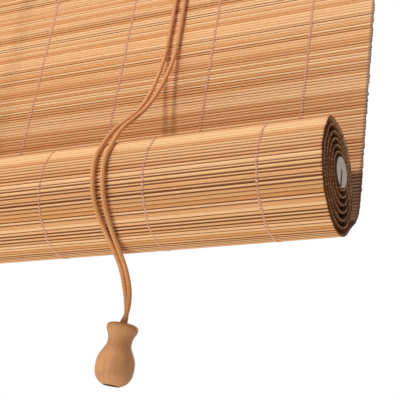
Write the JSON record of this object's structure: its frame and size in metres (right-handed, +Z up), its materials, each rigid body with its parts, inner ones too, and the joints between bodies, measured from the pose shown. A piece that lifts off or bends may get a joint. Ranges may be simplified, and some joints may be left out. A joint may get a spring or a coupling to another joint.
{
  "type": "bamboo roll-up blind",
  "caption": "Bamboo roll-up blind: a threaded mat of thin slats hangs from a headrail, rolls up round a rod in cord loops and is pulled by twin cords with a turned tassel.",
  "frame": {"origin": "midway between the two hanging holes, on the hanger plates' wall face", "axes": "+X along the blind's width to the side of the pull cords, +Y towards the wall, +Z up"},
  "size_m": [0.9, 0.0878, 0.6021],
  "materials": {
    "bamboo": "satin",
    "pine": "satin",
    "rod": "matt",
    "turned_wood": "satin",
    "thread": "matt",
    "cord": "matt",
    "steel": "zinc plated",
    "nylon": "matt"
  },
  "bodies": {
    "headrail": {"headrail": "pine", "top_strip": "pine", "top_tacks": "steel", "hanger_plate_left": "steel", "hanger_plate_right": "steel", "hanger_screws": "steel", "hanging_mat": "bamboo", "warp_threads": "thread", "left_pulley_bracket": "steel", "left_pulley_axle": "steel", "right_pulley_bracket": "steel", "right_pulley_axle": "steel", "cord_lock_housing": "steel", "lock_axle": "steel", "cam_pin": "steel", "bracket_screws": "steel", "anchor_knots": "cord", "rear_cord_left": "cord", "rear_cord_right": "cord", "front_cord_left": "cord", "front_cord_right": "cord", "pull_cord_left": "cord", "pull_cord_right": "cord"},
    "lift_loops": {"loop_cord_left": "cord", "loop_cord_right": "cord", "mat_tail": "bamboo", "pull_end_left": "cord", "pull_end_right": "cord"},
    "roll": {"mat_roll": "bamboo", "bottom_rod": "rod"},
    "tassel": {"tassel": "turned_wood", "tassel_knot": "cord"},
    "left_sheave": {"left_sheave": "nylon"},
    "right_sheave": {"right_sheave": "nylon"},
    "lock_roller": {"lock_roller": "nylon"},
    "lock_cam": {"lock_cam": "nylon"}
  },
  "joints": [
    {"name": "roll_lift", "type": "slide", "parent": "headrail", "child": "lift_loops", "axis": [0, 0, 1], "range_m": [0, 0.32], "deforming": ["hanging_mat", "warp_threads", "rear_cord_left", "rear_cord_right", "front_cord_left", "front_cord_right", "pull_cord_left", "pull_cord_right"]},
    {"name": "roll_turn", "type": "hinge", "parent": "lift_loops", "child": "roll", "pos_m": [0, -0.0565, -0.504], "axis": [-1, 0, 0], "range_deg": [0, 720]},
    {"name": "tassel_pull", "type": "slide", "parent": "lift_loops", "child": "tassel", "axis": [0, 0, -1], "range_m": [0, 0.96], "deforming": ["pull_end_left", "pull_end_right"]},
    {"name": "left_sheave_turn", "type": "hinge", "parent": "headrail", "child": "left_sheave", "pos_m": [-0.193, -0.034, -0.03], "axis": [0, 1, 0], "range_deg": [0, 5240]},
    {"name": "right_sheave_turn", "type": "hinge", "parent": "headrail", "child": "right_sheave", "pos_m": [0.207, -0.034, -0.036], "axis": [0, 1, 0], "range_deg": [0, 5240]},
    {"name": "lock_roller_turn", "type": "hinge", "parent": "headrail", "child": "lock_roller", "pos_m": [0.329, -0.034, -0.034], "axis": [0, 1, 0], "range_deg": [0, 5240]},
    {"name": "lock_cam_turn", "type": "hinge", "parent": "headrail", "child": "lock_cam", "pos_m": [0.3456, -0.034, -0.042], "axis": [0, 1, 0], "range_deg": [0, 60]}
  ],
  "couplings": [
    {"joint": "roll_turn", "follows": "roll_lift", "rad_per_m": 39.27},
    {"joint": "tassel_pull", "follows": "roll_lift", "ratio": 3},
    {"joint": "left_sheave_turn", "follows": "roll_lift", "rad_per_m": 285.71},
    {"joint": "right_sheave_turn", "follows": "roll_lift", "rad_per_m": 285.71},
    {"joint": "lock_roller_turn", "follows": "roll_lift", "rad_per_m": 285.71}
  ]
}
